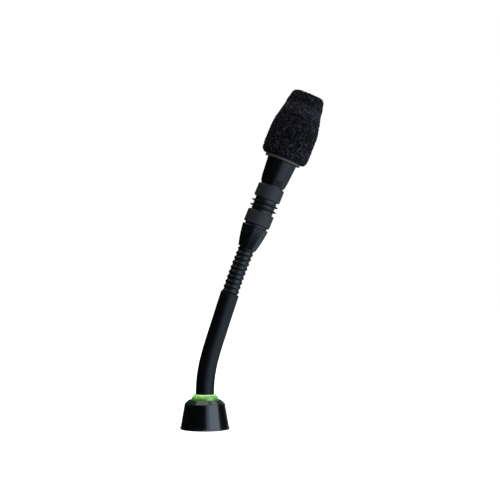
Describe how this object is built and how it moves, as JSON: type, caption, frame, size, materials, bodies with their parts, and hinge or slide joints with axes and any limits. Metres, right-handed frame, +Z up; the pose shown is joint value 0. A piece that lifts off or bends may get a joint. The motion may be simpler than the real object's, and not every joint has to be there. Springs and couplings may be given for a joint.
{
  "type": "gooseneck podium microphone",
  "caption": "Short plug-on gooseneck condenser microphone: glossy round base with a green light ring, sleeved and wound flexible neck, rubber isolator, tapered body and foam windscreen.",
  "frame": {"origin": "centre of the base's bottom rim, on the mouth of the dock bore", "axes": "+Z up out of the dock along the base's axis, +X the way the neck leans at rest, +Y away from the viewer"},
  "size_m": [0.0599, 0.0206, 0.1414],
  "materials": {
    "gloss_black": "glossy moulded black",
    "green_lens": "translucent green, lit from below",
    "steel": "turned and plated",
    "spacer_plastic": "moulded",
    "board": "solder mask",
    "connector_plastic": "glass-filled moulding",
    "gold_pin": "gold plated",
    "led": "clear moulded",
    "jacket": "satin sleeve",
    "flex_metal": "blackened wound wire",
    "cable": "soft sheath",
    "ferrule_black": "satin black",
    "isolator_rubber": "moulded rubber",
    "band": "fine matte texture",
    "housing_black": "satin black",
    "cartridge_black": "matt black",
    "felt": "fine felt",
    "capsule_plastic": "moulded",
    "brass": "turned",
    "film": "metallised film",
    "snap_grey": "satin grey",
    "foam": "open-cell foam"
  },
  "bodies": {
    "base": {"base_skirt": "gloss_black", "light_ring": "green_lens", "neck_bushing": "steel", "spacer_ring": "spacer_plastic", "main_board": "board", "status_leds": "led", "connector_insulator": "connector_plastic", "connector_pins": "gold_pin", "retaining_clip": "steel", "neck_jacket_00": "jacket", "flex_link_00": "flex_metal", "mic_cable": "cable"},
    "lower_link_1": {"neck_jacket_01": "jacket", "flex_link_01": "flex_metal"},
    "lower_link_2": {"neck_jacket_02": "jacket", "flex_link_02": "flex_metal"},
    "lower_link_3": {"neck_jacket_03": "jacket", "flex_link_03": "flex_metal"},
    "lower_link_4": {"neck_jacket_04": "jacket", "flex_link_04": "flex_metal"},
    "lower_link_5": {"neck_jacket_05": "jacket", "flex_link_05": "flex_metal"},
    "lower_link_6": {"neck_jacket_06": "jacket", "flex_link_06": "flex_metal"},
    "lower_link_7": {"neck_jacket_07": "jacket", "flex_link_07": "flex_metal"},
    "lower_link_8": {"neck_jacket_08": "jacket", "flex_link_08": "flex_metal"},
    "upper_link_1": {"flex_link_09": "flex_metal"},
    "upper_link_2": {"flex_link_10": "flex_metal"},
    "upper_link_3": {"flex_link_11": "flex_metal"},
    "upper_link_4": {"flex_link_12": "flex_metal"},
    "upper_link_5": {"flex_link_13": "flex_metal"},
    "upper_link_6": {"flex_link_14": "flex_metal"},
    "upper_link_7": {"flex_link_15": "flex_metal"},
    "head": {"flex_link_16": "flex_metal", "neck_ferrule": "ferrule_black", "lower_spigot": "steel", "upper_spigot": "steel", "isolator_sleeve": "isolator_rubber", "lower_band": "band", "upper_band": "band", "preamp_housing": "housing_black", "preamp_board": "board", "contact_disc": "connector_plastic", "cartridge_housing": "cartridge_black", "capsule_board": "board", "contact_pin": "gold_pin", "rear_felt": "felt", "capsule_insulator": "capsule_plastic", "backplate": "brass", "backplate_pin": "brass", "diaphragm": "film", "diaphragm_ring": "brass", "grille": "cartridge_black"},
    "windscreen": {"snap_ring": "snap_grey", "windscreen_foam": "foam"}
  },
  "joints": [
    {"name": "lower_side_bend_1", "type": "hinge", "parent": "base", "child": "lower_link_1", "pos_m": [0, 0, 0.0165], "axis": [0.001, 1, 0.001], "range_deg": [-15, 15], "deforming": ["mic_cable"]},
    {"name": "lower_fore_bend_1", "type": "hinge", "parent": "lower_link_1", "child": "lower_link_2", "pos_m": [0.00035, 0, 0.02149], "axis": [0.9976, 0, -0.0698], "range_deg": [-15, 15]},
    {"name": "lower_side_bend_2", "type": "hinge", "parent": "lower_link_2", "child": "lower_link_3", "pos_m": [0.00117, 0, 0.02642], "axis": [0.001, 1, 0.001], "range_deg": [-15, 15]},
    {"name": "lower_fore_bend_2", "type": "hinge", "parent": "lower_link_3", "child": "lower_link_4", "pos_m": [0.00238, 0, 0.03127], "axis": [0.9703, 0, -0.2419], "range_deg": [-15, 15]},
    {"name": "lower_side_bend_3", "type": "hinge", "parent": "lower_link_4", "child": "lower_link_5", "pos_m": [0.00384, 0, 0.03605], "axis": [0.001, 1, 0.001], "range_deg": [-15, 15]},
    {"name": "lower_fore_bend_3", "type": "hinge", "parent": "lower_link_5", "child": "lower_link_6", "pos_m": [0.00538, 0, 0.04081], "axis": [0.9516, 0, -0.3074], "range_deg": [-15, 15]},
    {"name": "lower_side_bend_4", "type": "hinge", "parent": "lower_link_6", "child": "lower_link_7", "pos_m": [0.00692, 0, 0.04557], "axis": [0.001, 1, 0.001], "range_deg": [-15, 15]},
    {"name": "lower_fore_bend_4", "type": "hinge", "parent": "lower_link_7", "child": "lower_link_8", "pos_m": [0.00846, 0, 0.05033], "axis": [0.9516, 0, -0.3074], "range_deg": [-15, 15]},
    {"name": "upper_side_bend_1", "type": "hinge", "parent": "lower_link_8", "child": "upper_link_1", "pos_m": [0.01064, 0, 0.05708], "axis": [0.001, 1, 0.001], "range_deg": [-10, 10]},
    {"name": "upper_fore_bend_1", "type": "hinge", "parent": "upper_link_1", "child": "upper_link_2", "pos_m": [0.01129, 0, 0.05906], "axis": [0.9494, 0, -0.314], "range_deg": [-10, 10]},
    {"name": "upper_side_bend_2", "type": "hinge", "parent": "upper_link_2", "child": "upper_link_3", "pos_m": [0.01197, 0, 0.06102], "axis": [0.001, 1, 0.001], "range_deg": [-10, 10]},
    {"name": "upper_fore_bend_2", "type": "hinge", "parent": "upper_link_3", "child": "upper_link_4", "pos_m": [0.01268, 0, 0.06298], "axis": [0.9415, 0, -0.3371], "range_deg": [-10, 10]},
    {"name": "upper_side_bend_3", "type": "hinge", "parent": "upper_link_4", "child": "upper_link_5", "pos_m": [0.0134, 0, 0.06493], "axis": [0.001, 1, 0.001], "range_deg": [-10, 10]},
    {"name": "upper_fore_bend_3", "type": "hinge", "parent": "upper_link_5", "child": "upper_link_6", "pos_m": [0.01413, 0, 0.06688], "axis": [0.9354, 0, -0.3535], "range_deg": [-10, 10]},
    {"name": "upper_side_bend_4", "type": "hinge", "parent": "upper_link_6", "child": "upper_link_7", "pos_m": [0.01488, 0, 0.06882], "axis": [0.001, 1, 0.001], "range_deg": [-10, 10]},
    {"name": "upper_fore_bend_4", "type": "hinge", "parent": "upper_link_7", "child": "head", "pos_m": [0.01565, 0, 0.07075], "axis": [0.9291, 0, -0.3697], "range_deg": [-10, 10]},
    {"name": "windscreen_pull", "type": "slide", "parent": "head", "child": "windscreen", "axis": [0.3762, 0, 0.9265], "range_m": [0, 0.03]}
  ],
  "couplings": [
    {"joint": "lower_side_bend_2", "follows": "lower_side_bend_1", "ratio": 1},
    {"joint": "lower_fore_bend_2", "follows": "lower_fore_bend_1", "ratio": 1},
    {"joint": "lower_side_bend_3", "follows": "lower_side_bend_1", "ratio": 1},
    {"joint": "lower_fore_bend_3", "follows": "lower_fore_bend_1", "ratio": 1},
    {"joint": "lower_side_bend_4", "follows": "lower_side_bend_1", "ratio": 1},
    {"joint": "lower_fore_bend_4", "follows": "lower_fore_bend_1", "ratio": 1},
    {"joint": "upper_side_bend_2", "follows": "upper_side_bend_1", "ratio": 1},
    {"joint": "upper_fore_bend_2", "follows": "upper_fore_bend_1", "ratio": 1},
    {"joint": "upper_side_bend_3", "follows": "upper_side_bend_1", "ratio": 1},
    {"joint": "upper_fore_bend_3", "follows": "upper_fore_bend_1", "ratio": 1},
    {"joint": "upper_side_bend_4", "follows": "upper_side_bend_1", "ratio": 1},
    {"joint": "upper_fore_bend_4", "follows": "upper_fore_bend_1", "ratio": 1}
  ]
}
